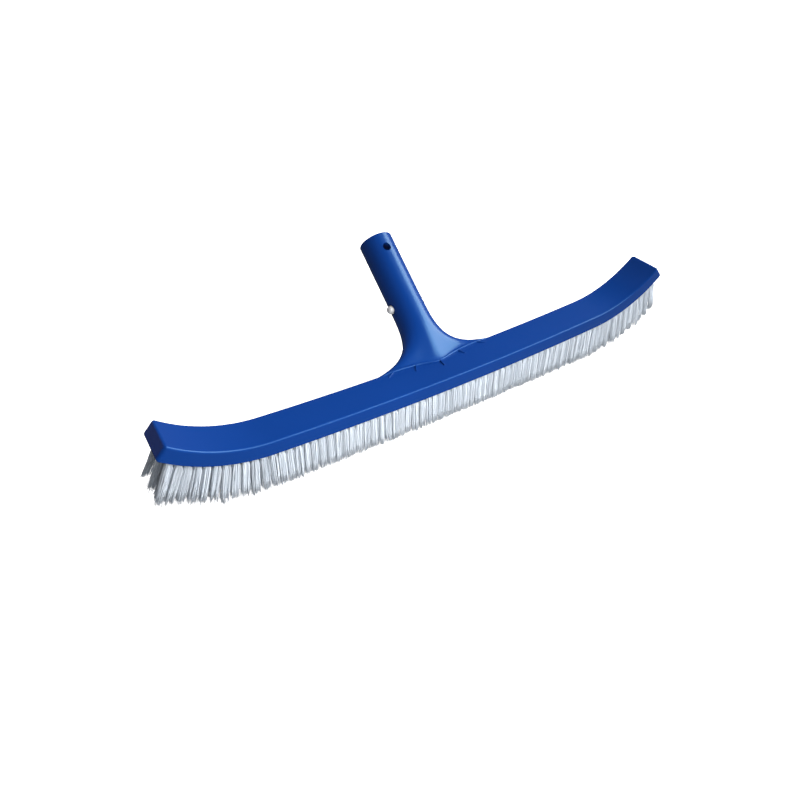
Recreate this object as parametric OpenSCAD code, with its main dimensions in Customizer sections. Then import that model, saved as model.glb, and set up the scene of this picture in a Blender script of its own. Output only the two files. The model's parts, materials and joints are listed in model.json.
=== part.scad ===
// Pool wall brush: a long bowed back with upturned ends, five rows of stapled bristle tufts under it,
// and a leaning tubular spigot that a telescopic pole slides over. A sprung V clip inside the spigot
// pushes two snap buttons out through its wall, to lock the pole.
// Frame: +X along the brush, +Y the way the spigot leans, +Z up. The origin is the bottom centre of the
// brush's own box, so the bristle tips at mid length stand on z = 0.

/* [Back] */
// Width of the back, front to rear
back_w = 30; // [28:0.5:36]
// Thickness of the back
back_t = 12; // [11:0.5:14]
// Radius of the top face along the long middle bow
bow_r = 2470; // [2000:10:4000]
// Length of the bow along the top face, from mid length to where an end turns up
bow_half = 154; // [130:1:170]
// Radius of the top face along an upturned end
end_r = 108; // [95:1:140]
// Angle that each end turns up through
end_sweep = 39.7; // [37:0.1:41]
// Rounding of the back's long edges
edge_r = 1.4; // [0.6:0.1:2]
// Rounding of the back's four corners
corner_r = 2.5; // [2:0.5:6]

/* [Bristles] */
// Spacing of the tufts along a row, at half the back's thickness
tuft_pitch = 6.2; // [5.8:0.1:6.4]
// Spacing of the rows
row_pitch = 5.7; // [5.2:0.1:5.8]
// Diameter of a drilled tuft hole
tuft_d = 3.8; // [3:0.1:4]
// Diameter of a tuft at its cut tips
tuft_tip_d = 5.7; // [4:0.1:6]
// Depth of a tuft hole
hole_depth = 8; // [7:0.5:9]
// Bristle length below the back at mid length
bristle_mid = 28.6; // [20:0.2:40]
// Bristle length below the back from the ends of the bow outwards
bristle_end = 30.5; // [20:0.2:40]
// Share of the back's slope that a tuft leans with, left of mid length
lean_left = 0.62; // [0.3:0.01:0.9]
// Share of the back's slope that a tuft leans with, right of mid length
lean_right = 0.36; // [0.3:0.01:0.9]
// Outward lean of each row for each row away from the middle one, in degrees
row_splay = 1.25; // [0:0.25:2]

/* [Spigot] */
// Outer diameter, a sliding fit in a 32 mm pole
spigot_d = 28.8; // [28.4:0.1:29]
// Bore diameter
spigot_bore_d = 22.8; // [22:0.1:24]
// Length of the spigot's axis, from its root over the back to its tip
spigot_len = 104.4; // [100:0.2:120]
// Length of that axis that the flared neck takes
neck_len = 36; // [33:0.5:37]
// Distance along the axis where the spigot's parallel wall starts, clear of the snap buttons
wall_from = 50.5; // [48:0.5:56]
// Lean of the spigot above the horizontal, in degrees
spigot_lean = 35.9; // [30:0.1:50]
// Distance of the axis's root behind the back's centre line
root_y = 25.7; // [22:0.1:30]
// Diameter of the lock hole across the spigot near its tip
lock_hole_d = 7; // [6:0.1:7.5]
// Distance of the lock hole from the tip
lock_hole_from_tip = 13.5; // [12:0.1:14]

/* [Neck] */
// Half length of the neck's foot along the back
foot_half = 54; // [48:1:60]
// Height of the foot's rim over the back
rim_h = 1.7; // [1:0.1:3]
// Thickness of the five small gusset ribs in front of the rim
rib_t = 1.2; // [0.8:0.1:2]
// Spacing of the gusset ribs
rib_pitch = 21.2; // [18:0.2:24]

/* [Snap buttons] */
// Diameter of a button
button_d = 7; // [6:0.1:7.2]
// How far a button stands out of the spigot
button_proud = 4; // [3:0.1:4.5]
// Distance of the buttons from the spigot's tip
button_from_tip = 62.4; // [60:0.2:63]

/* [Hidden] */

BLUE = [0.07, 0.22, 0.58];
BRISTLE = [0.86, 0.89, 0.93];
STEEL = [0.78, 0.80, 0.83];
BRASS = [0.80, 0.66, 0.36];

deg = 180 / PI;
cut = 1;                                  // overrun of a cutting tool past the face it cuts
round_fn = 96;

// The back's curve
bow_angle = bow_half / bow_r * deg;
end_x = (bow_r - end_r) * sin(bow_angle);               // centre of a turned-up end's arcs
end_z = bow_r - (bow_r - end_r) * cos(bow_angle);
bow_fn = 720;
end_fn = 240;
foot_edge_r = 0.6;                        // rounding of the back's two lower long edges
end_lap = 0.3;                            // angle that an end's arc runs back into the bow
end_inset = 0.02;                         // and how far its faces stay inside the bow's

// Tufts and their staples
middle_row = 3;
long_row = 73;                            // tufts in rows 1, 3 and 5
short_row = 72;                           // tufts in rows 2 and 4
staple = [0.5, 4.4, 1.8];                 // thickness, width across the hole, height
staple_cover = 1.2;                       // bristle folded between a staple and the hole's end
tuft_neck = 0.5;                          // straight part of a tuft below the back
outer_splay = 2 * row_splay;

// Spigot
spigot_r = spigot_d / 2;
bore_r = spigot_bore_d / 2;
tip_round = 0.8;
root_draft = 0.2;                         // the spigot's extra radius at the neck
bore_floor = neck_len - 2.5;              // where the blind bore ends along the axis
lock_s = spigot_len - lock_hole_from_tip;

// Neck: a loft from the foot on the back to the spigot's root circle
neck_sides = 40;
neck_rings = 14;
neck_inset = 0.1;                         // the loft's last ring stays this far inside the spigot
neck_lap = 0.4;                           // and runs this far into it
foot_front = 7.8;                         // the foot's front line at mid length, ahead of the rear edge
foot_margin = 1.4;                        // and far out along the back
foot_bow = 16;                            // distance along the back over which it falls back
foot_round = 0.35;                        // how squarely the neck starts from the front line
foot_drop = 0.57;                         // and from its lower line on the back's rear face
foot_rise = 0.7;                          // share of the rim's height where the neck starts
foot_sink = 0.2;                          // how far the neck's foot lies inside the back, downwards
rear_sink = 1;                            // and forwards from its rear face
foot_pull = [79, 19, 7];                  // how strongly the neck leaves the foot along X, Y and Z
spigot_pull = 93;                         // and how strongly it enters the spigot
foot_low = 10.4;                          // how far the neck reaches down the back's rear face
rib_len = 6;
rib_fan = 1.4;                            // turn of a rib for each mm from mid length, in degrees
rib_step = 0.3;                           // how far a rib's top lies below the rim's
rib_toe = 0.4;                            // height of a rib's front end
rib_heel = 1.5;                           // how far a rib runs back into the rim

// Clip
strip = [1.2, 8];                         // thickness and width of the spring strip
clip_half = 7.5;                          // half width of the clip at the bend
button_s = spigot_len - button_from_tip;
clip_s = button_s + 34;                   // where the arms start from the bend
arm_tilt = 3;                             // outward lean of an arm, in degrees
arm_len = 39;
arm_gap = 0.2;
button_down = (clip_s - button_s) / cos(arm_tilt);
shank_d = 3;
button_hole_d = button_d + 1.3;
button_top = (spigot_r + button_proud - clip_half) / cos(arm_tilt) - button_down * tan(arm_tilt);

// Place of the object on its origin
lowest_tip = bristle_mid * cos(outer_splay) + tuft_tip_d / 2 * sin(outer_splay);
top_z = back_t + lowest_tip;
front_y = -2 * row_pitch - bristle_end * sin(outer_splay) - tuft_tip_d / 2 * cos(outer_splay);
tip_y = root_y + (spigot_len - tip_round) * cos(spigot_lean)
        + (spigot_r - tip_round) * sin(spigot_lean) + tip_round;
centre_y = -(front_y + tip_y) / 2;

// ---- Functions ----------------------------------------------------------------------------------

function arc(centre, r, from, to, steps) =
    [for (i = [0:steps]) let (a = from + (to - from) * i / steps) centre + r * [cos(a), sin(a)]];

// Slope angle of the back at a distance u from mid length, measured at half thickness
bow_u = bow_angle / deg * (bow_r + back_t / 2);
function slope(u) = abs(u) <= bow_u
    ? u / (bow_r + back_t / 2) * deg
    : sign(u) * (bow_angle + (abs(u) - bow_u) / (end_r + back_t / 2) * deg);

// Point of the back's curve, [x, z], at a slope angle and a depth below the top face
function on_curve(a, depth) = abs(a) <= bow_angle
    ? [(bow_r + depth) * sin(a), bow_r - (bow_r + depth) * cos(a)]
    : [sign(a) * (end_x + (end_r + depth) * sin(abs(a))), end_z - (end_r + depth) * cos(a)];

// Bristle length at a distance u from mid length
function bristle_len(u) = bristle_mid + (bristle_end - bristle_mid) * pow(min(1, abs(u) / bow_u), 2);

function row_y(row) = (row - middle_row) * row_pitch;
function row_count(row) = row % 2 == 1 ? long_row : short_row;

// Front line of the neck's foot on the back's top face
function foot_y(x) = back_w / 2 - foot_margin - (foot_front - foot_margin) / (1 + pow(x / foot_bow, 2));

// One point of the foot ring, the root circle, and the loft between them
function foot_point(a) = let (s = abs(sin(a)))
    sin(a) >= 0
    ? [foot_half * cos(a), back_w / 2 - (back_w / 2 - foot_y(foot_half * cos(a))) * pow(s, foot_round),
       rim_h * foot_rise * sqrt(s) - foot_sink]
    : [foot_half * cos(a), back_w / 2 - rear_sink, -foot_low * pow(s, foot_drop) - foot_sink];
function root_point(a) = let (r = spigot_r + root_draft - neck_inset, s = neck_len + neck_lap)
    [r * cos(a), root_y + s * cos(spigot_lean) - r * sin(a) * sin(spigot_lean),
     s * sin(spigot_lean) + r * sin(a) * cos(spigot_lean)];
function foot_way(a) = [-foot_pull.x * cos(a), foot_pull.y, foot_pull.z * max(0, sin(a))];
function root_way() = spigot_pull * [0, cos(spigot_lean), sin(spigot_lean)];
function hermite(p, m, q, n, t) = (2 * t * t * t - 3 * t * t + 1) * p + (t * t * t - 2 * t * t + t) * m
    + (3 * t * t - 2 * t * t * t) * q + (t * t * t - t * t) * n;

// ---- Placing ------------------------------------------------------------------------------------

// Children are drawn from the middle of the back's top face
module on_back() {
    translate([0, centre_y, top_z]) children();
}

// Children are drawn along the spigot's axis: +Z to its tip, -Y to its upper side
module on_spigot() {
    on_back() translate([0, root_y, 0]) rotate([spigot_lean - 90, 0, 0]) children();
}

// Children are drawn at a tuft: z = 0 on the back's underside and +Z up the hole
module at_tuft(row, index) {
    u = (index - (row_count(row) - 1) / 2) * tuft_pitch;
    a = slope(u);
    p = on_curve(a, back_t);
    translate([p.x, row_y(row), p.y])
        rotate([row_splay * (row - middle_row), -(a < 0 ? lean_left : lean_right) * a, 0])
            children();
}

// Children are drawn from a clip arm's pivot: -Z down the arm and +X outwards. side is 1 or -1
module on_arm(side) {
    on_spigot() mirror([side < 0 ? 1 : 0, 0, 0]) translate([clip_half, 0, clip_s])
        rotate([0, -arm_tilt, 0])
            children();
}

// ---- Back ---------------------------------------------------------------------------------------

// Cross-section of the back: x is the depth below the top face, y runs front to rear
module back_section(inset = 0) {
    h = back_w / 2 - inset;
    top = edge_r + inset;
    low = back_t - foot_edge_r - inset;
    polygon(concat(
        arc([top, h - edge_r], edge_r, 180, 90, 6),
        arc([low, h - foot_edge_r], foot_edge_r, 90, 0, 3),
        arc([low, foot_edge_r - h], foot_edge_r, 0, -90, 3),
        arc([top, edge_r - h], edge_r, -90, -180, 6)));
}

module bow_bar() {
    translate([0, 0, bow_r]) rotate([90, 0, 0]) rotate([0, 0, -90 - bow_angle])
        rotate_extrude(angle = 2 * bow_angle, $fn = bow_fn) translate([bow_r, 0]) back_section();
}

// Plan of an end, with its two corners rounded. It opens out behind them, clear of the bar
module end_plan() {
    h = back_w / 2;
    last = 80;                            // the arcs stop short of square to the side they meet
    behind = 120;
    polygon(concat(
        [[-behind, -h - cut], [-2 * corner_r, -h - cut]],
        arc([-corner_r, corner_r - h], corner_r, -90 - (90 - last), 0, 8),
        arc([-corner_r, h - corner_r], corner_r, 0, 90 + (90 - last), 8),
        [[-2 * corner_r, h + cut], [-behind, h + cut]]));
}

// A turned-up end, on the right for side = 1 and on the left for side = -1
module end_bar(side) {
    from = side > 0 ? bow_angle - end_lap : -bow_angle - end_sweep;
    intersection() {
        translate([side * end_x, 0, end_z]) rotate([90, 0, 0]) rotate([0, 0, from - 90])
            rotate_extrude(angle = end_sweep + end_lap, $fn = end_fn)
                translate([end_r, 0]) back_section(end_inset);
        translate([side * end_x, 0, end_z]) rotate([0, -side * (bow_angle + end_sweep), 0])
            rotate([0, 0, side > 0 ? 0 : 180])
                translate([0, 0, -2 * end_r]) linear_extrude(3 * end_r) end_plan();
    }
}

module back() {
    color(BLUE) on_back() difference() {
        union() {
            bow_bar();
            end_bar(1);
            end_bar(-1);
        }
        for (row = [1:5]) {
            for (i = [0:row_count(row) - 1]) {
                at_tuft(row, i) translate([0, 0, -2 * cut])
                    cylinder(d = tuft_d, h = hole_depth + 2 * cut, $fn = 24);
            }
        }
    }
}

// ---- Bristles -----------------------------------------------------------------------------------

module staple_blank() {
    translate([0, 0, hole_depth - staple_cover - staple.z / 2]) cube(staple, center = true);
}

module tuft(length) {
    difference() {
        rotate_extrude($fn = 24) polygon([
            [0, hole_depth],
            [tuft_d / 2, hole_depth],
            [tuft_d / 2, -tuft_neck],
            [tuft_tip_d / 2, -length],
            [0, -length]]);
        staple_blank();
    }
}

module tuft_row(row) {
    color(BRISTLE) on_back() {
        for (i = [0:row_count(row) - 1]) {
            u = (i - (row_count(row) - 1) / 2) * tuft_pitch;
            at_tuft(row, i) tuft(bristle_len(u));
        }
    }
}

module anchor_row(row) {
    color(BRASS) on_back() {
        for (i = [0:row_count(row) - 1]) {
            at_tuft(row, i) staple_blank();
        }
    }
}

// ---- Spigot -------------------------------------------------------------------------------------

// The flared neck, from a foot ring buried in the back to a ring just inside the spigot
module neck() {
    rings = [for (k = [0:neck_rings]) [for (j = [0:neck_sides - 1])
        let (a = 360 * j / neck_sides)
        hermite(foot_point(a), foot_way(a), root_point(a), root_way(), k / neck_rings)]];
    foot_hub = [0, foot_y(0) + 2, -foot_low / 2];
    tip_hub = [0, root_y + (neck_len + neck_lap) * cos(spigot_lean),
               (neck_len + neck_lap) * sin(spigot_lean)];
    points = concat([foot_hub, tip_hub], [for (ring = rings) each ring]);
    last = 2 + neck_rings * neck_sides;
    faces = concat(
        [for (j = [0:neck_sides - 1]) [0, 2 + (j + 1) % neck_sides, 2 + j]],
        [for (k = [0:neck_rings - 1]) for (j = [0:neck_sides - 1])
            let (a = 2 + k * neck_sides + j, b = 2 + k * neck_sides + (j + 1) % neck_sides)
            each [[a, b, a + neck_sides], [b, b + neck_sides, a + neck_sides]]],
        [for (j = [0:neck_sides - 1]) [1, last + j, last + (j + 1) % neck_sides]]);
    polyhedron(points, faces);
}

// The rim that the foot stands in: a low pad behind the foot's front line, as high all along the back
module rim() {
    steps = 26;
    difference() {
        translate([0, 0, -cut]) linear_extrude(rim_h + 3 * cut) polygon(concat(
            [for (i = [0:steps]) let (x = foot_half * (2 * i / steps - 1)) [x, foot_y(x)]],
            [[foot_half, back_w / 2 - rear_sink], [-foot_half, back_w / 2 - rear_sink]]));
        translate([0, back_w, bow_r]) rotate([90, 0, 0])
            cylinder(r = bow_r - rim_h, h = 2 * back_w, $fn = 4 * bow_fn);
    }
}

// One gusset rib: a small sloping web from the rim's edge down to the back
module rib(x) {
    h = rim_h + x * x / (2 * bow_r);
    translate([x, foot_y(x), 0]) rotate([0, 0, x * rib_fan]) translate([-rib_t / 2, 0, 0])
        rotate([90, 0, 90]) linear_extrude(rib_t)
            polygon([[rib_heel, -cut], [rib_heel, h - rib_step], [0, h - rib_step],
                     [-rib_len, rib_toe], [-rib_len, -cut]]);
}

// The spigot's wall, with its tip rounded
module spigot_tube() {
    rotate_extrude($fn = round_fn) polygon(concat(
        [[0, neck_len], [spigot_r + root_draft, neck_len], [spigot_r, wall_from]],
        arc([spigot_r - tip_round, spigot_len - tip_round], tip_round, 0, 90, 4),
        [[0, spigot_len]]));
}

module handle_socket() {
    color(BLUE) difference() {
        union() {
            on_back() neck();
            on_back() rim();
            on_back() for (i = [-2:2]) rib(i * rib_pitch);
            on_spigot() spigot_tube();
        }
        on_spigot() translate([0, 0, bore_floor])
            cylinder(r = bore_r, h = spigot_len, $fn = round_fn);
        on_spigot() translate([0, 0, lock_s]) rotate([90, 0, 0])
            cylinder(d = lock_hole_d, h = 3 * spigot_r, center = true, $fn = 48);
        on_spigot() translate([0, 0, button_s]) rotate([0, 90, 0])
            cylinder(d = button_hole_d, h = 3 * spigot_r, center = true, $fn = 48);
        on_back() bow_bar();
    }
}

// ---- Clip and buttons ---------------------------------------------------------------------------

module clip_bend() {
    color(STEEL) on_spigot() translate([0, 0, clip_s]) rotate([90, 0, 0])
        rotate_extrude(angle = 180, $fn = round_fn)
            translate([clip_half - strip.x / 2, -strip.y / 2]) square(strip);
}

module clip_arm(side) {
    color(STEEL) on_arm(side) difference() {
        translate([-strip.x / 2, -strip.y / 2, -arm_len]) cube([strip.x, strip.y, arm_len - arm_gap]);
        translate([0, 0, -button_down]) rotate([0, 90, 0])
            cylinder(d = shank_d, h = 3 * strip.x, center = true, $fn = 32);
    }
}

// A domed button on a shank that is riveted through the arm
module button(side) {
    r = button_d / 2;
    color(STEEL) on_arm(side) translate([0, 0, -button_down]) rotate([0, 90, 0])
        rotate_extrude($fn = 48) polygon(concat(
            [[0, -strip.x / 2 - 0.6], [shank_d / 2 + 0.8, -strip.x / 2 - 0.6],
             [shank_d / 2 + 0.8, -strip.x / 2], [shank_d / 2, -strip.x / 2],
             [shank_d / 2, strip.x / 2], [r, strip.x / 2]],
            arc([0, button_top - r], r, 0, 90, 10)));
}

module clip_arm_left() { clip_arm(-1); }
module clip_arm_right() { clip_arm(1); }
module button_left() { button(-1); }
module button_right() { button(1); }
module tuft_row_1() { tuft_row(1); }
module tuft_row_2() { tuft_row(2); }
module tuft_row_3() { tuft_row(3); }
module tuft_row_4() { tuft_row(4); }
module tuft_row_5() { tuft_row(5); }
module anchor_row_1() { anchor_row(1); }
module anchor_row_2() { anchor_row(2); }
module anchor_row_3() { anchor_row(3); }
module anchor_row_4() { anchor_row(4); }
module anchor_row_5() { anchor_row(5); }

back();
handle_socket();
clip_bend();
clip_arm_left();
clip_arm_right();
button_left();
button_right();
tuft_row_1();
tuft_row_2();
tuft_row_3();
tuft_row_4();
tuft_row_5();
anchor_row_1();
anchor_row_2();
anchor_row_3();
anchor_row_4();
anchor_row_5();
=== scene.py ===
"""Looks for the pool wall brush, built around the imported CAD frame. Lengths are in millimetres until a
mesh is made, and places are measured from the middle of the back's top face: x runs along the brush,
y the way the spigot leans, and z up."""

import json
import math

import bmesh
import bpy
import numpy as np
from mathutils import Matrix, Vector


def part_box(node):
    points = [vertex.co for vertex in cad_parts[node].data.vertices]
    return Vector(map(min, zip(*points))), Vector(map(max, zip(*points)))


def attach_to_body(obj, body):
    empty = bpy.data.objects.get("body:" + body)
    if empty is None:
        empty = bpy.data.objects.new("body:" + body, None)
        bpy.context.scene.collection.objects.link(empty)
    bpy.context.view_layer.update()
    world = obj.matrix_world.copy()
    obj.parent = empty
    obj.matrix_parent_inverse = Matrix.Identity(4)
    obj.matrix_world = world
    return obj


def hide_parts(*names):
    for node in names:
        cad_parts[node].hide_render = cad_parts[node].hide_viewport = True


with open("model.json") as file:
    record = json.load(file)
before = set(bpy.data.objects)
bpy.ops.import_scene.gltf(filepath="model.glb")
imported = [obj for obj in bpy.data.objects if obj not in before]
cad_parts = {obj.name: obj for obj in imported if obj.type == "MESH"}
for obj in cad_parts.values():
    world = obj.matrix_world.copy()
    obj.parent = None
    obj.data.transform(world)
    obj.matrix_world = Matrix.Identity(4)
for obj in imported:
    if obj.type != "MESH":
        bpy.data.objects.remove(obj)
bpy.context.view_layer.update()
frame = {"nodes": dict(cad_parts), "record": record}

MM = 0.001                                # a millimetre in metres
SEED = 20                                 # of the bristles' random numbers, to which a row adds its own

# The back
BACK_W = 30.0                             # width, front to rear
BACK_T = 12.0                             # thickness
BOW_R = 2470.0                            # radius of the top face along the long middle bow
BOW_HALF = 154.0                          # length of the bow along the top face, from mid length
END_R = 108.0                             # radius of the top face along an upturned end
END_SWEEP = math.radians(39.7)            # angle that each end turns up through
EDGE_R = 1.4                              # rounding of the two upper long edges
LOW_EDGE_R = 0.6                          # rounding of the two lower long edges
CORNER_R = 2.5                            # rounding of the four corners, seen from above
END_EDGE_R = 1.6                          # rounding of each end's upper and lower edges
BOW_ANGLE = BOW_HALF / BOW_R
TOP_HALF = BOW_HALF + END_R * END_SWEEP   # length of the top face, from mid length to an end
END_X = (BOW_R - END_R) * math.sin(BOW_ANGLE)            # centre of an upturned end's arcs
END_Z = BOW_R - (BOW_R - END_R) * math.cos(BOW_ANGLE)
BACK_STATIONS = 241                       # sections along the back, between its corners
CORNER_STATIONS = 19                      # sections round the corners at each end
EDGE_POINTS = 9                           # points round an upper long edge
LOW_EDGE_POINTS = 5                       # points round a lower long edge
SIDE_POINTS = 7                           # points down the front and the rear
ACROSS_POINTS = 13                        # points across the top and the underside
BACK_CREASE = math.radians(50)            # edges sharper than this stay sharp when shaded

# From the frame: the middle of the back's top face, in metres, the floor's height under it, and the
# spigot's mount and axis
back_low, back_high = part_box("back")
ORIGIN = np.array([0.0, (back_low.y + back_high.y) / 2, back_low.z + BACK_T * MM])
FLOOR_Z = -ORIGIN[2] / MM
mounts = {mount["name"]: mount for mount in frame["record"]["mounts"]}
spigot = mounts["pole_spigot"]
AXIS = np.array(spigot["axis"], float)
AXIS = AXIS / np.linalg.norm(AXIS)
UPPER = np.array([0.0, -AXIS[2], AXIS[1]])               # square to the axis, on the spigot's upper side
SIDE = np.array([1.0, 0.0, 0.0])

# Tufts
ROWS = 5
MIDDLE_ROW = (ROWS + 1) // 2
LONG_ROW = 73                             # tufts in an odd row
SHORT_ROW = 72                            # tufts in an even row
TUFT_PITCH = 6.2                          # spacing along a row, at half the back's thickness
TUFT_BOW = BOW_ANGLE * (BOW_R + BACK_T / 2)              # length of the bow at that depth
ROW_PITCH = 5.7                           # spacing of the rows
ROW_SPLAY = math.radians(1.25)            # outward lean of each row, for each row from the middle one
LEAN_LEFT = 0.62                          # share of the back's slope that a tuft leans with, on the left
LEAN_RIGHT = 0.36                         # and on the right
BRISTLE_MID = 28.6                        # bristle length below the back at mid length
BRISTLE_END = 30.5                        # and from the ends of the bow outwards
TUFT_R = 1.9                              # radius of a drilled tuft hole
TIP_R = 2.85                              # radius over which a tuft's clumps spread at its tips

# Filaments. What is called noise is the standard deviation of something uneven.
FILAMENTS = 84                            # in a tuft
FILAMENT_R = 0.2                          # average radius of a filament
FILAMENT_R_SPREAD = (0.85, 1.15)          # thinnest and thickest, as shares of that
FILAMENT_SIDES = 3
RING_PLACES = (0.0, 0.09, 0.2, 0.45, 0.72, 1.0)          # of a filament's rings, as shares of its length
SUNK = 1.5                                # how far up its hole a filament starts
FLARE = 1.66                              # how far a tuft opens out below its hole, as a factor
FLARE_DEPTH = 3.0                         # depth below the back where it is open
SQUARED = 0.7                             # how square the open tuft is: 0 is round, 1 is square
TIP_SPREAD = 1.08                         # how far it opens further down, as a factor
TIP_POWER = 1.6                           # how late along its length a filament goes its own way
CLUMPS = 6                                # that a tuft's tips draw together in
TIP_NOISE = 0.25                          # sideways unevenness of a tip
REACH_NOISE = 0.95                        # unevenness of a filament's length
STRAY_NOISE = 1.0                         # further sideways unevenness of a stray filament
BEND = 0.2                                # sideways bend of a filament at half its length
WAVE = 0.08                               # size of its small waves
WAVE_TURN = 9                             # and how far they turn along it, in radians
FLOOR_GAP = 0.02                          # least height of a tip over the floor
LEFT_SPLAY = 1.5                          # how far the tips splay outwards at the brush's left end
SPLAY_FROM = 165.0                        # distance from mid length where that splay starts
WILD_FROM = 120                           # distance from mid length where bristles get less even
WILD_OVER = 90                            # length over which they do

# What grows towards the brush's ends: its size in the middle, and what the ends add
CLUMP_PULL = (0.22, 0.15)                 # most that a clump draws together, as a share
TUFT_NOISE = (0.3, 0.3)                   # sideways unevenness of a whole tuft's tips
CLUMP_NOISE = (0.35, 0.45)                # unevenness of a clump's length
STRAY_SHARE = (0.015, 0.06)               # share of stray filaments
STRAY_REACH = (0.5, 2.2)                  # most that a stray filament is longer

# The spigot
SPIGOT_R = spigot["dims"]["r_mm"]         # outer radius
BORE_R = 11.4
SPIGOT_LEN = 104.4                        # length of the axis, from its root over the back to its tip
NECK_LEN = 36.0                           # length of the axis that the flared neck takes
ROOT_Y = 25.7                             # distance of the axis's root behind the back's centre line
ROOT = np.array([0.0, ROOT_Y, 0.0])
TIP_ROUND = 0.8                           # rounding of the tip, outside
WALL_FROM = SPIGOT_LEN - TIP_ROUND - spigot["dims"]["length_mm"]     # where the parallel wall starts
ROOT_DRAFT = 0.2                          # how much larger the radius is at the neck
MOUTH_ROUND = 0.4                         # rounding of the tip, round the bore
BORE_FLOOR = NECK_LEN - 2.5               # distance along the axis of the bore's blind end
BUTTON_S = SPIGOT_LEN - 62.4              # distance along the axis of the buttons
BUTTON_HOLE_R = 4.15
LOCK_S = SPIGOT_LEN - 13.5                # distance along the axis of the lock hole
LOCK_R = mounts["lock_hole"]["dims"]["r_mm"]
SKIN_SIDES = 160                          # points round the skin
NECK_RINGS = 60
TUBE_RINGS = 40
TIP_RINGS = 7
MOUTH_RINGS = 5
BORE_RINGS = 24
HOLE_SIDES = 96
SOCKET_CREASE = math.radians(35)          # edges sharper than this stay sharp when shaded

# The neck's foot, and the rim and ribs that it stands among
FOOT_HALF = 54.0                          # half length along the back
FOOT_FRONT = 7.8                          # distance of its front from the back's rear edge, in the middle
FOOT_MARGIN = 1.4                         # and far out along the foot
FOOT_BOW = 16.0                           # distance along the back where it is halfway between the two
FOOT_LOW = 10.4                           # how far its rear runs down the back's rear face
FOOT_SINK = 0.2                           # how deep it sinks into what it stands on
REAR_SINK = 1.0                           # and into the back's rear face
FOOT_RISE = 0.7                           # height of its front on the rim, as a share of the rim's
FRONT_POWER = 0.35                        # how full its outline is in front
REAR_POWER = 0.57                         # and at the rear
FOOT_PULL = (79.0, 19.0, 7.0)             # how hard the neck leaves its foot: inwards, rearwards, up
SPIGOT_PULL = 93.0                        # and how hard it runs into the tube, along the axis
HUB_IN = 2                                # distance behind the foot's front where its closing fan meets
RIM_H = 1.7                               # height over the back
RIM_HALF = FOOT_HALF - 2                  # half length
RIM_FADE = 9.0                            # length over which the rim sinks into the back at its ends
RIM_LEAST = 0.06                          # least value of that fade, before its square root is taken
RIM_ROUND = 1.4                           # rounding of its front edge
RIM_ROUND_SHARE = 0.9                     # or this share of its height, if that is less
RIM_SINK = 0.6                            # how deep it sinks into the back
RIM_STATIONS = 120
RIM_ROUND_POINTS = 7
RIBS_ASIDE = 2                            # ribs on each side of the middle one
RIB_PITCH = 21.2
RIB_T = 1.2                               # thickness
RIB_LEN = 6.0                             # length in front of the rim
RIB_LAP = 1.5                             # length inside the rim
RIB_TOP_GAP = 0.3                         # how far a rib's top stays under the rim's
RIB_TOE = 0.8                             # height of its front end
RIB_SINK = 1                              # how deep a rib sinks into the back
RIB_FAN = math.radians(1.4)               # how far a rib turns outwards for each mm from the middle
RIB_BEVEL = 0.25                          # bevel of a rib's edges
RIB_BEVEL_SEGMENTS = 3

# Colours, linear
BLUE_DEEP = (0.0030, 0.033, 0.19)
BLUE_LIGHT = (0.0036, 0.037, 0.21)
BLUE_SHEEN = (0.45, 0.94, 1.0)            # tint of the plastic's reflections
BRISTLE_DARK = (0.79, 0.85, 0.92)
BRISTLE_LIGHT = (0.85, 0.91, 0.97)
STRIP_DARK = (0.48, 0.49, 0.51)
STRIP_LIGHT = (0.66, 0.67, 0.69)
BUTTON_DARK = (0.74, 0.75, 0.75)
BUTTON_LIGHT = (0.86, 0.87, 0.87)
BRASS_DARK = (0.52, 0.36, 0.12)
BRASS_LIGHT = (0.70, 0.52, 0.22)
FILL_COLOUR = (0.95, 0.97, 1.0)
GLOW_COLOUR = (1.0, 0.5, 0.7)
FLOOR_COLOUR = (0.85, 0.85, 0.85)
WHITE = (1, 1, 1)

# Noise: nearly all of a noise texture's values lie between these two
NOISE_LOW = 0.3
NOISE_HIGH = 0.7

# The studio
FLOOR_HALF = 6000                         # half the floor's width
FLOOR_GLOW = 0.75                         # light that the floor gives off, so that it shows white
FILL_FROM = (0.75, -0.35, -0.55)          # direction that most of the fill comes from
FILL_LEVELS = (0.05, 0.6)                 # strength of the fill opposite to that direction, and along it
GLOSS_DIM = 0.6                           # share of the fill that reflections don't show

# The camera, as worked out from the photograph's perspective
CAMERA_AZIMUTH = math.radians(-33.30)     # to the left of straight in front
CAMERA_ELEVATION = math.radians(39.97)
CAMERA_ROLL = math.radians(1.456)
CAMERA_DISTANCE = 496.98
CAMERA_AIM = np.array([-43.05, 0.0, -17.05])
SENSOR_W = 36.0
LENS = 28.32
CLIP_NEAR = 0.01                          # in metres, as is the next
CLIP_FAR = 50


# ---- Mesh helpers -------------------------------------------------------------------------------

def new_object(name, points, faces):
    """A mesh object from points in mm about the back's origin."""
    mesh = bpy.data.meshes.new(name)
    world = np.asarray(points, float) * MM + ORIGIN
    mesh.from_pydata(world.tolist(), [], faces)
    mesh.update()
    return linked(name, mesh)


def linked(name, data):
    """An object of its own for a mesh, a light or a camera, in the scene."""
    obj = bpy.data.objects.new(name, data)
    bpy.context.scene.collection.objects.link(obj)
    return obj


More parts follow.
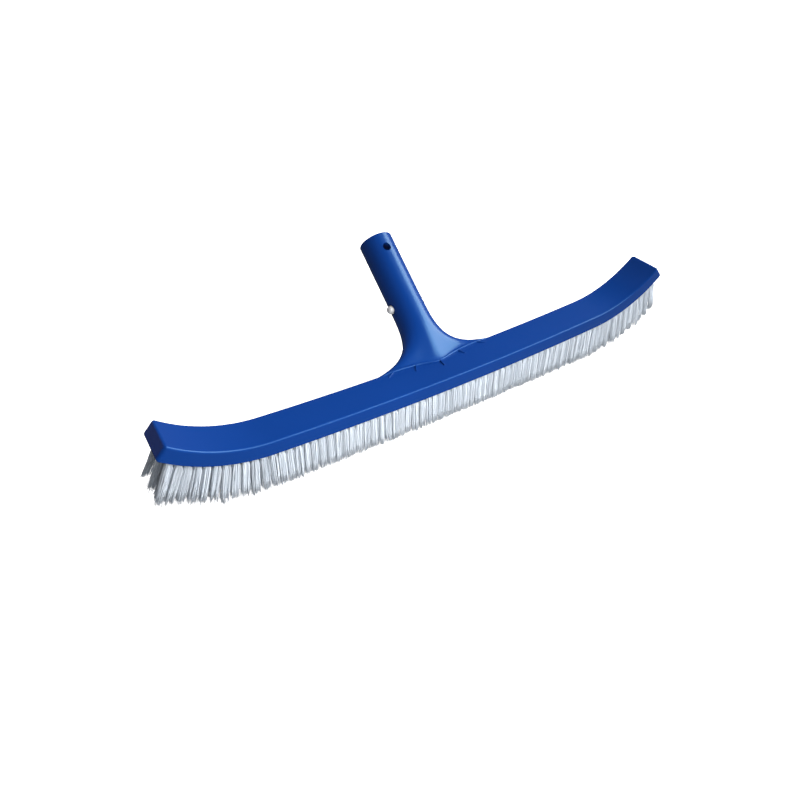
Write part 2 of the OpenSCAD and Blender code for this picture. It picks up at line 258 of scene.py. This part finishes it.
def loft(rings, first_hub=None):
    """Points and faces of a closed skin over rings that hold the same number of points. The first ring
    is closed by a fan to first_hub if one is given, and by one flat face if not."""
    n = len(rings[0])
    points = np.concatenate(rings)
    faces = []
    for k in range(len(rings) - 1):
        for j in range(n):
            a = k * n + j
            b = k * n + (j + 1) % n
            faces.append((a, b, b + n, a + n))
    faces.append(tuple(range(len(points) - n, len(points))))
    if first_hub is None:
        faces.append(tuple(range(n - 1, -1, -1)))
    else:
        faces += [((j + 1) % n, j, len(points)) for j in range(n)]
        points = np.concatenate([points, [first_hub]])
    return points, faces


def face_outwards(obj):
    """Turns every face of a closed mesh to look outwards."""
    bm = bmesh.new()
    bm.from_mesh(obj.data)
    bmesh.ops.recalc_face_normals(bm, faces=bm.faces)
    if bm.calc_volume(signed=True) < 0:
        bmesh.ops.reverse_faces(bm, faces=bm.faces)
    bm.to_mesh(obj.data)
    bm.free()


def lofted(name, rings, first_hub=None):
    """An object with a closed skin over rings, whose faces look outwards."""
    obj = new_object(name, *loft(rings, first_hub))
    face_outwards(obj)
    return obj


def shade(obj, crease):
    """Smooth shading, with creases over an angle, weighted so that flat faces stay flat."""
    obj.data.polygons.foreach_set("use_smooth", [True] * len(obj.data.polygons))
    obj.data.set_sharp_from_angle(angle=crease)
    weighted = obj.modifiers.new("weighted", "WEIGHTED_NORMAL")
    weighted.keep_sharp = True
    obj.data.update()


def bake_modifiers(obj):
    """Puts the modifiers' result into the mesh."""
    graph = bpy.context.evaluated_depsgraph_get()
    made = bpy.data.meshes.new_from_object(obj.evaluated_get(graph))
    obj.modifiers.clear()
    obj.data = made


def spigot_ring(s, r, turn):
    """Points of a circle round the spigot's axis, at a distance s along it."""
    return ROOT + AXIS * s + r * (np.outer(np.cos(turn), SIDE) + np.outer(np.sin(turn), UPPER))


def drill(name, s, axis, radius):
    """A long cylinder right across the spigot, to cut a hole through both of its walls."""
    any_way = [0.3, 0.5, 0.8]
    u = np.cross(axis, any_way)
    u = u / np.linalg.norm(u)
    v = np.cross(axis, u)
    turn = np.linspace(0, 2 * math.pi, HOLE_SIDES, endpoint=False)
    circle = radius * (np.outer(np.cos(turn), u) + np.outer(np.sin(turn), v))
    centre = ROOT + AXIS * s
    half = 2 * SPIGOT_R * axis
    return lofted(name, [centre + circle - half, centre + circle + half])


def cut(obj, cutters):
    """Cuts other objects out of one, and removes them."""
    for cutter in cutters:
        made = obj.modifiers.new("cut", "BOOLEAN")
        made.operation = "DIFFERENCE"
        made.solver = "EXACT"
        made.object = cutter
    bake_modifiers(obj)
    for cutter in cutters:
        bpy.data.objects.remove(cutter)


def joined(name, parts):
    """One object from several, in the order given."""
    bm = bmesh.new()
    for part in parts:
        bm.from_mesh(part.data)
        bpy.data.objects.remove(part)
    mesh = bpy.data.meshes.new(name)
    bm.to_mesh(mesh)
    bm.free()
    return linked(name, mesh)


# ---- The back -----------------------------------------------------------------------------------

def slope_at(u, depth):
    """Slope angle of the back's curve at a distance u from mid length, measured along the curve at a depth
    below the top face."""
    over = abs(u) - BOW_ANGLE * (BOW_R + depth)
    return u / (BOW_R + depth) if over <= 0 else math.copysign(BOW_ANGLE + over / (END_R + depth), u)


def on_curve(a, depth):
    """Point (x, z) of the back's curve at a slope angle and a depth below the top face."""
    if abs(a) <= BOW_ANGLE:
        return (BOW_R + depth) * math.sin(a), BOW_R - (BOW_R + depth) * math.cos(a)
    x = END_X + (END_R + depth) * math.sin(abs(a))
    return math.copysign(x, a), END_Z - (END_R + depth) * math.cos(a)


def back_section(half, top, low):
    """Rounded outline of the back across its length: (y, depth) points."""
    round_top = np.radians(np.linspace(0, 90, EDGE_POINTS))
    round_low = np.radians(np.linspace(0, 90, LOW_EDGE_POINTS))
    right = [(half - EDGE_R + EDGE_R * math.sin(f), top + EDGE_R - EDGE_R * math.cos(f)) for f in round_top]
    right += [(half, d) for d in np.linspace(top + EDGE_R, low - LOW_EDGE_R, SIDE_POINTS)[1:-1]]
    right += [(half - LOW_EDGE_R + LOW_EDGE_R * math.cos(f), low - LOW_EDGE_R + LOW_EDGE_R * math.sin(f))
              for f in round_low]
    left = [(-y, d) for y, d in reversed(right)]
    across_low = [(y, low) for y in np.linspace(half - LOW_EDGE_R, LOW_EDGE_R - half, ACROSS_POINTS)[1:-1]]
    across_top = [(y, top) for y in np.linspace(EDGE_R - half, half - EDGE_R, ACROSS_POINTS)[1:-1]]
    return right + across_low + left + across_top


def drawn_in(r, near):
    """How far a face is drawn in by a rounding of radius r, at a distance near from the end."""
    return r - math.sqrt(max(0, r ** 2 - max(0, r - near) ** 2))


def make_back():
    """The back's bar, with all of its edges rounded. Its drilled holes are left out, because the bristles
    fill them."""
    turns = np.radians(np.linspace(0, 90, CORNER_STATIONS + 1))[1:]
    ends = TOP_HALF - CORNER_R + CORNER_R * np.sin(turns)
    middle = np.linspace(CORNER_R - TOP_HALF, TOP_HALF - CORNER_R, BACK_STATIONS)
    rings = []
    for u in np.concatenate([-ends[::-1], middle, ends]):
        near = TOP_HALF - abs(u)
        half = BACK_W / 2 - drawn_in(CORNER_R, near)
        edge = drawn_in(END_EDGE_R, near)
        a = slope_at(u, 0)
        ring = []
        for y, depth in back_section(half, edge, BACK_T - edge):
            x, z = on_curve(a, depth)
            ring.append((x, y, z))
        rings.append(np.array(ring))
    obj = lofted("back_body", rings)
    shade(obj, BACK_CREASE)
    return obj


# ---- The spigot, its neck and foot --------------------------------------------------------------

def foot_y(x):
    """The foot's front line, seen from above, which bows forwards in the middle."""
    return BACK_W / 2 - FOOT_MARGIN - (FOOT_FRONT - FOOT_MARGIN) / (1 + (x / FOOT_BOW) ** 2)


def foot_point(f):
    """A point of the neck's foot at an angle round it. The front stands on the rim, and the rear runs
    down the back's rear face."""
    s = abs(math.sin(f))
    x = FOOT_HALF * math.cos(f)
    rear = BACK_W / 2
    if math.sin(f) >= 0:
        return (x, rear - (rear - foot_y(x)) * s ** FRONT_POWER, RIM_H * FOOT_RISE * math.sqrt(s) - FOOT_SINK)
    return (x, rear - REAR_SINK, -FOOT_LOW * s ** REAR_POWER - FOOT_SINK)


def neck_rings(turn):
    """The flared neck: a smooth curve from each point of the foot to its point of the tube."""
    foot = np.array([foot_point(f) for f in turn])
    leave = np.stack([-FOOT_PULL[0] * np.cos(turn), np.full(len(turn), FOOT_PULL[1]),
                      FOOT_PULL[2] * np.clip(np.sin(turn), 0, 1)], 1)
    root = spigot_ring(NECK_LEN, SPIGOT_R + ROOT_DRAFT, turn)
    arrive = np.tile(SPIGOT_PULL * AXIS, (len(turn), 1))
    rings = []
    for t in np.linspace(0, 1, NECK_RINGS):
        rings.append((2 * t ** 3 - 3 * t ** 2 + 1) * foot + (t ** 3 - 2 * t ** 2 + t) * leave
                     + (3 * t ** 2 - 2 * t ** 3) * root + (t ** 3 - t ** 2) * arrive)
    return rings


def tube_rings(turn):
    """The tube's outside, its rounded mouth and its blind bore."""
    rings = []
    for s in np.linspace(NECK_LEN, SPIGOT_LEN - TIP_ROUND, TUBE_RINGS)[1:]:
        draft = ROOT_DRAFT * max(0, WALL_FROM - s) / (WALL_FROM - NECK_LEN)
        rings.append(spigot_ring(s, SPIGOT_R + draft, turn))
    for f in np.radians(np.linspace(0, 90, TIP_RINGS))[1:]:
        rings.append(spigot_ring(SPIGOT_LEN - TIP_ROUND + TIP_ROUND * math.sin(f),
                                 SPIGOT_R - TIP_ROUND + TIP_ROUND * math.cos(f), turn))
    for f in np.radians(np.linspace(0, 90, MOUTH_RINGS)):
        rings.append(spigot_ring(SPIGOT_LEN - MOUTH_ROUND + MOUTH_ROUND * math.cos(f),
                                 BORE_R + MOUTH_ROUND - MOUTH_ROUND * math.sin(f), turn))
    for s in np.linspace(SPIGOT_LEN - MOUTH_ROUND, BORE_FLOOR, BORE_RINGS)[1:]:
        rings.append(spigot_ring(s, BORE_R, turn))
    return rings


def make_spigot_skin():
    """The neck and the tube as one closed skin."""
    turn = np.linspace(0, 2 * math.pi, SKIN_SIDES, endpoint=False)
    hub = (0, foot_y(0) + HUB_IN, -FOOT_LOW / 2)
    return lofted("spigot_skin", neck_rings(turn) + tube_rings(turn), hub)


def rim_height(x):
    """Height of the rim's top over the middle of the back: it follows the bow."""
    return RIM_H + x * x / (2 * BOW_R)


def make_rim():
    """The low pad that the neck's foot stands on. Its front edge is rounded, and its ends sink into the
    back."""
    rear = BACK_W / 2 - REAR_SINK
    rings = []
    for x in np.linspace(-RIM_HALF, RIM_HALF, RIM_STATIONS):
        front = foot_y(x)
        high = rim_height(x) * math.sqrt(min(1, max(RIM_LEAST, (RIM_HALF - abs(x)) / RIM_FADE)))
        r = min(RIM_ROUND, RIM_ROUND_SHARE * high)
        ring = [(x, front, -RIM_SINK)]
        for f in np.radians(np.linspace(0, 90, RIM_ROUND_POINTS)):
            ring.append((x, front + r - r * math.cos(f), high - r + r * math.sin(f)))
        ring += [(x, rear, high), (x, rear, -RIM_SINK)]
        rings.append(np.array(ring))
    return lofted("rim", rings)


def make_rib(x):
    """A small sloping web from the rim's front edge down to the back."""
    high = rim_height(x) - RIB_TOP_GAP
    outline = [(RIB_LAP, -RIB_SINK), (RIB_LAP, high), (0, high), (-RIB_LEN, RIB_TOE), (-RIB_LEN, -RIB_SINK)]
    turn = x * RIB_FAN
    rings = []
    for side in (-RIB_T / 2, RIB_T / 2):
        ring = []
        for y, z in outline:
            ring.append((x + side * math.cos(turn) - y * math.sin(turn),
                         foot_y(x) + side * math.sin(turn) + y * math.cos(turn), z))
        rings.append(np.array(ring))
    obj = lofted("rib", rings)
    bevel = obj.modifiers.new("bevel", "BEVEL")
    bevel.width = RIB_BEVEL * MM
    bevel.segments = RIB_BEVEL_SEGMENTS
    bake_modifiers(obj)
    return obj


def make_socket():
    """The handle socket: spigot, neck, rim and ribs, with the holes for the buttons and the lock."""
    skin = make_spigot_skin()
    lock = drill("lock", LOCK_S, UPPER, LOCK_R)
    button = drill("button", BUTTON_S, SIDE, BUTTON_HOLE_R)
    cut(skin, [lock, button])
    ribs = [make_rib(i * RIB_PITCH) for i in range(-RIBS_ASIDE, RIBS_ASIDE + 1)]
    obj = joined("socket_body", [skin, make_rim()] + ribs)
    shade(obj, SOCKET_CREASE)
    return obj


# ---- Bristles -----------------------------------------------------------------------------------

def tuft_place(row, index, count):
    """A tuft's point on the back's underside, its axes (two across and one up the hole), its bristles'
    length, and its distance along the brush from mid length, at half the back's thickness."""
    u = (index - (count - 1) / 2) * TUFT_PITCH
    a = slope_at(u, BACK_T / 2)
    x, z = on_curve(a, BACK_T)
    lean = LEAN_LEFT if a < 0 else LEAN_RIGHT
    aside = row - MIDDLE_ROW
    turn = Matrix.Rotation(-lean * a, 3, "Y") @ Matrix.Rotation(ROW_SPLAY * aside, 3, "X")
    length = BRISTLE_MID + (BRISTLE_END - BRISTLE_MID) * min(1, abs(u) / TUFT_BOW) ** 2
    return np.array([x, aside * ROW_PITCH, z]), np.array(turn).T, length, u


def disc(rng, count, radius):
    """Points spread evenly over a disc."""
    r = radius * np.sqrt(rng.random(count))
    f = rng.random(count) * 2 * math.pi
    return np.stack([r * np.cos(f), r * np.sin(f)], 1)


def grown(middle_and_more, wild):
    """A value that grows from the middle of the brush, where wild is 0, to its ends, where it is 1."""
    middle, more = middle_and_more
    return middle + more * wild


def tuft_filaments(rng, place, axes, length, u):
    """Centre lines of one tuft's filaments, as (filament, ring, xyz). They leave the hole together and
    open out just below it towards a square, so that a row of tufts closes up. Further down they draw
    together in a few clumps, and they end at uneven lengths, some of them astray. All of it gets wilder
    towards the brush's ends, and on the left the tips splay outwards too."""
    wild = min(1, max(0, (abs(u) - WILD_FROM) / WILD_OVER))
    start = disc(rng, FILAMENTS, TUFT_R - FILAMENT_R)
    to_square = np.linalg.norm(start, axis=1) / np.abs(start).max(axis=1)
    opened = start * FLARE * (1 + SQUARED * (to_square[:, None] - 1))

    heads = disc(rng, CLUMPS, TIP_R)
    clump = ((opened[:, None] - heads[None]) ** 2).sum(2).argmin(1)
    pull = rng.uniform(0.0, grown(CLUMP_PULL, wild), CLUMPS)[clump][:, None]
    tip = opened * TIP_SPREAD * (1 - pull) + heads[clump] * pull + rng.normal(0, TIP_NOISE, opened.shape)
    tip = tip + rng.normal(0, grown(TUFT_NOISE, wild), 2)
    tip[:, 0] -= LEFT_SPLAY * max(0, (-u - SPLAY_FROM) / (TOP_HALF - SPLAY_FROM))

    reach = length + rng.normal(0, grown(CLUMP_NOISE, wild), CLUMPS)[clump]
    reach = reach + rng.normal(0, REACH_NOISE, FILAMENTS)
    stray = rng.random(FILAMENTS) < grown(STRAY_SHARE, wild)
    reach = reach + stray * grown(STRAY_REACH, wild) * rng.random(FILAMENTS)
    tip = tip + stray[:, None] * rng.normal(0, STRAY_NOISE, tip.shape)
    bend = rng.normal(0, BEND, (FILAMENTS, 1, 2))
    phase = rng.random((FILAMENTS, 1, 2)) * 2 * math.pi

    t = np.array(RING_PLACES)[None, :, None]
    flared = np.clip((t * (length + SUNK) - SUNK) / FLARE_DEPTH, 0, 1)
    flared = flared * flared * (3 - 2 * flared)          # eased in and out
    across = start[:, None] * (1 - flared) + opened[:, None] * flared
    across = across + (tip - opened)[:, None] * t ** TIP_POWER
    across = across + bend * np.sin(math.pi * t) + WAVE * np.sin(phase + WAVE_TURN * t) * t
    down = -SUNK + (reach + SUNK)[:, None, None] * t
    return place + across[..., :1] * axes[0] + across[..., 1:] * axes[1] - down * axes[2]


def filament_skins(rng, lines):
    """Points and faces of a thin closed tube round every centre line. The end faces come last."""
    total = len(lines)
    rings = len(RING_PLACES)
    spin = rng.random(total) * 2 * math.pi
    width = FILAMENT_R * rng.uniform(*FILAMENT_R_SPREAD, total)
    turn = spin[:, None] + np.arange(FILAMENT_SIDES) * 2 * math.pi / FILAMENT_SIDES
    ring = np.stack([np.cos(turn), np.sin(turn), np.zeros_like(turn)], 2) * width[:, None, None]
    points = (lines[:, :, None, :] + ring[:, None, :, :]).reshape(-1, 3)

    per = rings * FILAMENT_SIDES
    first = (np.arange(total) * per)[:, None]
    pattern = []
    for k in range(rings - 1):
        for j in range(FILAMENT_SIDES):
            a = k * FILAMENT_SIDES + j
            b = k * FILAMENT_SIDES + (j + 1) % FILAMENT_SIDES
            pattern.append((a, a + FILAMENT_SIDES, b + FILAMENT_SIDES, b))
    walls = np.array(pattern)[None] + first[:, :, None]
    roots = np.arange(FILAMENT_SIDES)[None] + first
    tips = per - 1 - np.arange(FILAMENT_SIDES)[None] + first
    return points, walls.reshape(-1, 4).tolist() + roots.tolist() + tips.tolist()


def make_tuft_row(row):
    """All the filaments of one row of tufts, as one mesh."""
    rng = np.random.default_rng(SEED + row)
    count = LONG_ROW if row % 2 else SHORT_ROW
    lines = []
    for i in range(count):
        place, axes, length, u = tuft_place(row, i, count)
        lines.append(tuft_filaments(rng, place, axes, length, u))
    lines = np.concatenate(lines)
    lines[..., 2] = np.maximum(lines[..., 2], FLOOR_Z + FLOOR_GAP)
    points, faces = filament_skins(rng, lines)
    obj = new_object(f"bristles_{row}", points, faces)
    ends = 2 * len(lines)                 # end faces, which stay flat
    obj.data.polygons.foreach_set("use_smooth", [True] * (len(faces) - ends) + [False] * ends)
    return obj


# ---- Materials ----------------------------------------------------------------------------------

def node_material(name, metallic=0.0, ior=1.46):
    """A new material with its Principled shader, and its object coordinates."""
    mat = bpy.data.materials.new(name)
    mat.use_nodes = True
    tree = mat.node_tree
    shader = tree.nodes["Principled BSDF"]
    shader.inputs["Metallic"].default_value = metallic
    shader.inputs["IOR"].default_value = ior
    coords = tree.nodes.new("ShaderNodeTexCoord").outputs["Object"]
    return mat, tree, shader, coords


def noise(tree, coords, scale, detail, stretch=(1, 1, 1)):
    """A noise texture in object coordinates, drawn out along an axis where stretch is under 1."""
    mapping = tree.nodes.new("ShaderNodeMapping")
    mapping.inputs["Scale"].default_value = stretch
    texture = tree.nodes.new("ShaderNodeTexNoise")
    texture.inputs["Scale"].default_value = scale
    texture.inputs["Detail"].default_value = detail
    tree.links.new(coords, mapping.inputs["Vector"])
    tree.links.new(mapping.outputs["Vector"], texture.inputs["Vector"])
    return texture.outputs["Fac"]


def ramp(tree, source, low, high, from_low=NOISE_LOW, from_high=NOISE_HIGH):
    """Colours between two, as source runs from from_low to from_high."""
    node = tree.nodes.new("ShaderNodeValToRGB")
    first, last = node.color_ramp.elements
    first.position = from_low
    last.position = from_high
    first.color = (*low, 1)
    last.color = (*high, 1)
    tree.links.new(source, node.inputs["Fac"])
    return node.outputs["Color"]


def spread(tree, source, low, high, from_low=NOISE_LOW, from_high=NOISE_HIGH):
    """Values between two, as source runs from from_low to from_high."""
    node = tree.nodes.new("ShaderNodeMapRange")
    node.inputs["From Min"].default_value = from_low
    node.inputs["From Max"].default_value = from_high
    node.inputs["To Min"].default_value = low
    node.inputs["To Max"].default_value = high
    tree.links.new(source, node.inputs["Value"])
    return node.outputs["Result"]


def bump(tree, shader, source, depth, strength):
    """Bump of a depth in mm."""
    node = tree.nodes.new("ShaderNodeBump")
    node.inputs["Distance"].default_value = depth * MM
    node.inputs["Strength"].default_value = strength
    tree.links.new(source, node.inputs["Height"])
    tree.links.new(node.outputs["Normal"], shader.inputs["Normal"])


def blue_plastic():
    """Semi-gloss moulded plastic, with faint clouds of colour and sheen and a very fine grain."""
    mat, tree, shader, coords = node_material("blue_moulded_plastic")
    shader.inputs["Specular IOR Level"].default_value = 0.4
    shader.inputs["Specular Tint"].default_value = (*BLUE_SHEEN, 1)
    clouds = noise(tree, coords, scale=14, detail=2)
    colour = ramp(tree, clouds, BLUE_DEEP, BLUE_LIGHT, from_low=0.2, from_high=0.8)
    sheen = spread(tree, noise(tree, coords, scale=40, detail=3), low=0.2, high=0.27)
    tree.links.new(colour, shader.inputs["Base Color"])
    tree.links.new(sheen, shader.inputs["Roughness"])
    bump(tree, shader, noise(tree, coords, scale=900, detail=2), depth=0.01, strength=0.25)
    return mat


def bristle_plastic():
    """White nylon, streaked along the filaments."""
    mat, tree, shader, coords = node_material("white_filament", ior=1.5)
    streak = noise(tree, coords, scale=1100, detail=2, stretch=(1, 1, 0.12))
    tree.links.new(ramp(tree, streak, BRISTLE_DARK, BRISTLE_LIGHT), shader.inputs["Base Color"])
    tree.links.new(spread(tree, streak, low=0.5, high=0.35), shader.inputs["Roughness"])
    return mat


def brushed_metal(name, dark, light, rough, stretch, metallic=1.0):
    """Metal with a fine grain, drawn out where stretch is under 1. rough holds the lowest and the highest
    roughness."""
    mat, tree, shader, coords = node_material(name, metallic)
    grain = noise(tree, coords, scale=900, detail=4, stretch=stretch)
    tree.links.new(ramp(tree, grain, dark, light), shader.inputs["Base Color"])
    tree.links.new(spread(tree, grain, *rough), shader.inputs["Roughness"])
    bump(tree, shader, grain, depth=0.02, strength=0.2)
    return mat


# ---- Putting it together ------------------------------------------------------------------------

def assign(obj, material):
    """Gives an object one material in place of those it had."""
    obj.data.materials.clear()
    obj.data.materials.append(material)


def attach(obj, material, slot, body, *nodes):
    """Finishes a piece: its material, the body it rides on, and the CAD nodes it replaces. slot is not used.
    """
    assign(obj, material)
    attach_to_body(obj, body)
    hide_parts(*nodes)


def build_object():
    """The pieces made here, and better materials for the CAD nodes that stay."""
    blue = blue_plastic()
    attach(make_back(), blue, "blue_plastic", "brush", "back")
    attach(make_socket(), blue, "blue_plastic", "brush", "handle_socket")
    white = bristle_plastic()
    for row in range(1, ROWS + 1):
        attach(make_tuft_row(row), white, "bristle", "brush", f"tuft_row_{row}")
    strip = brushed_metal("spring_strip", STRIP_DARK, STRIP_LIGHT, rough=(0.22, 0.36), stretch=(1, 0.05, 1))
    button = brushed_metal("button_steel", BUTTON_DARK, BUTTON_LIGHT, rough=(0.44, 0.58),
                           stretch=(0.2, 1, 1), metallic=0.4)
    wire = brushed_metal("staple_brass", BRASS_DARK, BRASS_LIGHT, rough=(0.26, 0.40), stretch=(1, 1, 0.1))
    for name, node in frame["nodes"].items():
        if name.startswith("clip"):
            assign(node, strip)
        elif name.startswith("button"):
            assign(node, button)
        elif name.startswith("anchor"):
            assign(node, wire)


# ---- The studio ---------------------------------------------------------------------------------

def turn_to(obj, towards):
    """Turns a lamp so that its light comes from a direction, given from the object to the lamp."""
    obj.rotation_mode = "QUATERNION"
    obj.rotation_quaternion = Vector(towards).normalized().to_track_quat("Z", "Y")


def sun(name, towards, strength, angle_deg, colour=WHITE, gloss=True, matt=True):
    """A soft light from far off. towards points from the object to the light. One without gloss is a
    plain fill, and one without matt is only seen mirrored."""
    data = bpy.data.lights.new(name, "SUN")
    data.energy = strength
    data.angle = math.radians(angle_deg)
    data.color = colour
    obj = linked(name, data)
    obj.visible_glossy = gloss
    obj.visible_diffuse = matt
    turn_to(obj, towards)


def softbox(name, place, size, watts):
    """A square light near the brush that isn't seen mirrored, turned to the frame's origin. place and
    size are in metres in the frame."""
    data = bpy.data.lights.new(name, "AREA")
    data.energy = watts
    data.size = size
    obj = linked(name, data)
    obj.visible_glossy = False
    obj.visible_camera = False
    obj.location = place
    turn_to(obj, place)


def fill_strength(tree, path):
    """Strength of the world's fill: brighter from the right, the front and below, and dimmer where it is
    seen mirrored."""
    coords = tree.nodes.new("ShaderNodeTexCoord")
    dot = tree.nodes.new("ShaderNodeVectorMath")
    dot.operation = "DOT_PRODUCT"
    dot.inputs[1].default_value = Vector(FILL_FROM).normalized()
    tree.links.new(coords.outputs["Generated"], dot.inputs[0])
    level = spread(tree, dot.outputs["Value"], *FILL_LEVELS, from_low=-1, from_high=1)
    dim = tree.nodes.new("ShaderNodeMath")
    dim.operation = "MULTIPLY_ADD"
    dim.inputs[1].default_value = -GLOSS_DIM
    dim.inputs[2].default_value = 1.0
    tree.links.new(path.outputs["Is Glossy Ray"], dim.inputs[0])
    strength = tree.nodes.new("ShaderNodeMath")
    strength.operation = "MULTIPLY"
    tree.links.new(level, strength.inputs[0])
    tree.links.new(dim.outputs["Value"], strength.inputs[1])
    return strength.outputs["Value"]


def make_world():
    """White to the camera, and a soft graded fill for everything else."""
    world = bpy.data.worlds.new("studio")
    bpy.context.scene.world = world
    world.use_nodes = True
    tree = world.node_tree
    tree.nodes.clear()
    path = tree.nodes.new("ShaderNodeLightPath")
    seen = tree.nodes.new("ShaderNodeBackground")
    seen.inputs["Color"].default_value = (*WHITE, 1)
    seen.inputs["Strength"].default_value = 1.0
    fill = tree.nodes.new("ShaderNodeBackground")
    fill.inputs["Color"].default_value = (*FILL_COLOUR, 1)
    tree.links.new(fill_strength(tree, path), fill.inputs["Strength"])
    mix = tree.nodes.new("ShaderNodeMixShader")
    tree.links.new(path.outputs["Is Camera Ray"], mix.inputs["Fac"])
    tree.links.new(fill.outputs["Background"], mix.inputs[1])
    tree.links.new(seen.outputs["Background"], mix.inputs[2])
    out = tree.nodes.new("ShaderNodeOutputWorld")
    tree.links.new(mix.outputs["Shader"], out.inputs["Surface"])


def make_floor():
    """A pale floor that glows, so that it shows white. It casts no light on the brush, and the brush
    doesn't mirror it."""
    corners = [(-FLOOR_HALF, -FLOOR_HALF), (FLOOR_HALF, -FLOOR_HALF),
               (FLOOR_HALF, FLOOR_HALF), (-FLOOR_HALF, FLOOR_HALF)]
    floor = new_object("floor", [(x, y, FLOOR_Z) for x, y in corners], [(0, 1, 2, 3)])
    mat = bpy.data.materials.new("pale_floor")
    mat.use_nodes = True
    shader = mat.node_tree.nodes["Principled BSDF"]
    shader.inputs["Base Color"].default_value = (*FLOOR_COLOUR, 1)
    shader.inputs["Roughness"].default_value = 0.9
    shader.inputs["Specular IOR Level"].default_value = 0.0
    shader.inputs["Emission Color"].default_value = (*WHITE, 1)
    shader.inputs["Emission Strength"].default_value = FLOOR_GLOW
    floor.data.materials.append(mat)
    floor.visible_diffuse = False
    floor.visible_glossy = False


def light_scene():
    """Matt light, mostly from the front right, with a little from behind. Mirrored light makes the streak on
    the tube, the light line along the back's front edge, and a faint glow on what faces left."""
    bpy.context.scene.view_settings.view_transform = "Standard"
    make_world()
    make_floor()
    sun("key", towards=(0.60, -0.34, 0.72), strength=4.0, angle_deg=50, gloss=False)
    sun("front", towards=(0.1, -0.95, 0.05), strength=0.3, angle_deg=60, gloss=False)
    softbox("right_box", place=(0.5, 0.15, 0.4), size=0.3, watts=1.5)
    softbox("front_box", place=(-0.06, -0.32, 0.14), size=0.25, watts=0.85)
    sun("streak", towards=(0.85, -0.22, 0.47), strength=3.4, angle_deg=42, matt=False)
    sun("edge", towards=(0.45, -0.62, 0.64), strength=1.3, angle_deg=30, matt=False)
    sun("left_glow", towards=(-0.75, 0.35, 0.55), strength=0.3, angle_deg=100, colour=GLOW_COLOUR,
        matt=False)
    sun("rear", towards=(-0.2, 0.97, 0.02), strength=1.4, angle_deg=50, gloss=False)


def make_camera():
    """A camera at the photograph's viewing angle."""
    level_part = math.cos(CAMERA_ELEVATION)
    back = Vector((math.sin(CAMERA_AZIMUTH) * level_part, -math.cos(CAMERA_AZIMUTH) * level_part,
                   math.sin(CAMERA_ELEVATION)))
    level = (-back).cross(Vector((0, 0, 1))).normalized()
    up = back.cross(level)
    right = level * math.cos(CAMERA_ROLL) + up * math.sin(CAMERA_ROLL)
    above = up * math.cos(CAMERA_ROLL) - level * math.sin(CAMERA_ROLL)
    place = Vector(CAMERA_AIM * MM + ORIGIN) + back * CAMERA_DISTANCE * MM
    data = bpy.data.cameras.new("camera")
    data.sensor_width = SENSOR_W
    data.lens = LENS
    data.clip_start = CLIP_NEAR
    data.clip_end = CLIP_FAR
    camera = linked("camera", data)
    camera.matrix_world = Matrix((
        (right.x, above.x, back.x, place.x),
        (right.y, above.y, back.y, place.y),
        (right.z, above.z, back.z, place.z),
        (0, 0, 0, 1)))
    bpy.context.scene.camera = camera


build_object()
light_scene()
make_camera()
